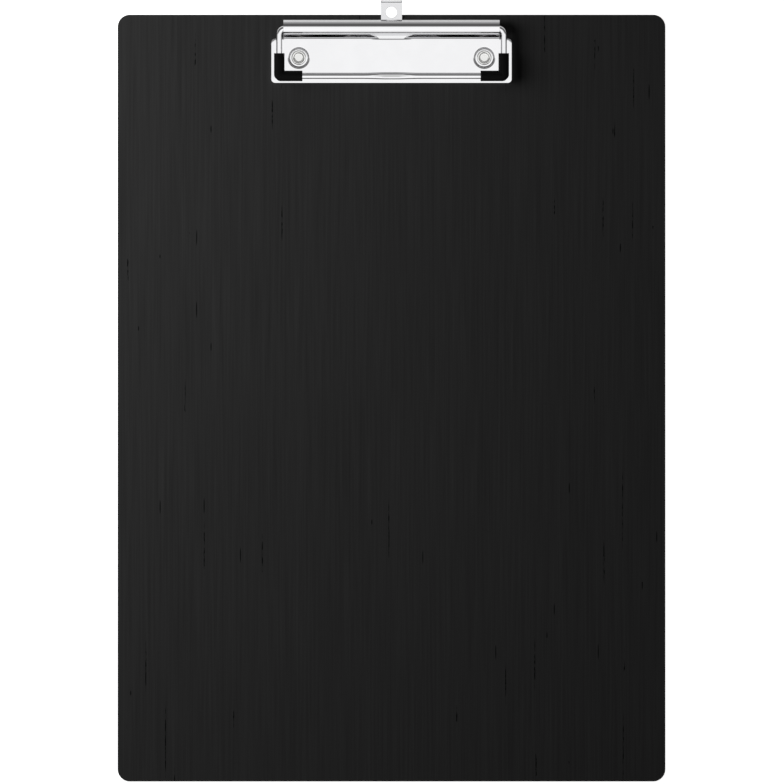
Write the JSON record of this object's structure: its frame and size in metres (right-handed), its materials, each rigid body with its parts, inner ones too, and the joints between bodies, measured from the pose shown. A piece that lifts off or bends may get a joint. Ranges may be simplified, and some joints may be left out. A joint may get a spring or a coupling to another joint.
{
  "type": "clipboard",
  "caption": "A4 wood-grain board with a low wire clip riveted near its top edge, rubber grips on the wire's corners and a sliding tab with a hole to hang it by.",
  "frame": {"origin": "centre of the board's back face", "axes": "+X across the board, +Y along it towards the clip, +Z out of the writing face"},
  "size_m": [0.225, 0.3209, 0.009],
  "materials": {
    "fibreboard": "black-dyed fibreboard, sealed edge",
    "black_laminate": "satin black wood-grain laminate",
    "chrome_plate": "bright chrome",
    "nickel_plate": "bright nickel",
    "spring_steel": "tempered",
    "black_rubber": "matt moulded"
  },
  "bodies": {
    "board": {"board_core": "fibreboard", "front_laminate": "black_laminate", "back_laminate": "black_laminate", "clip_base": "chrome_plate", "left_leaf_spring": "spring_steel", "right_leaf_spring": "spring_steel", "left_rivet": "nickel_plate", "right_rivet": "nickel_plate"},
    "bail": {"wire_bail": "chrome_plate", "left_grip": "black_rubber", "right_grip": "black_rubber"},
    "tab": {"hanging_tab": "chrome_plate"}
  },
  "joints": [
    {"name": "bail_hinge", "type": "hinge", "parent": "board", "child": "bail", "pos_m": [0, 0.15174, 0.00675], "axis": [-1, 0, 0], "range_deg": [0, 100], "stiffness_Nm_per_rad": 0.01, "springref_deg": -85.94, "deforming": ["left_leaf_spring", "right_leaf_spring"]},
    {"name": "tab_slide", "type": "slide", "parent": "board", "child": "tab", "axis": [0, -1, 0], "range_m": [0, 0.0069]}
  ]
}
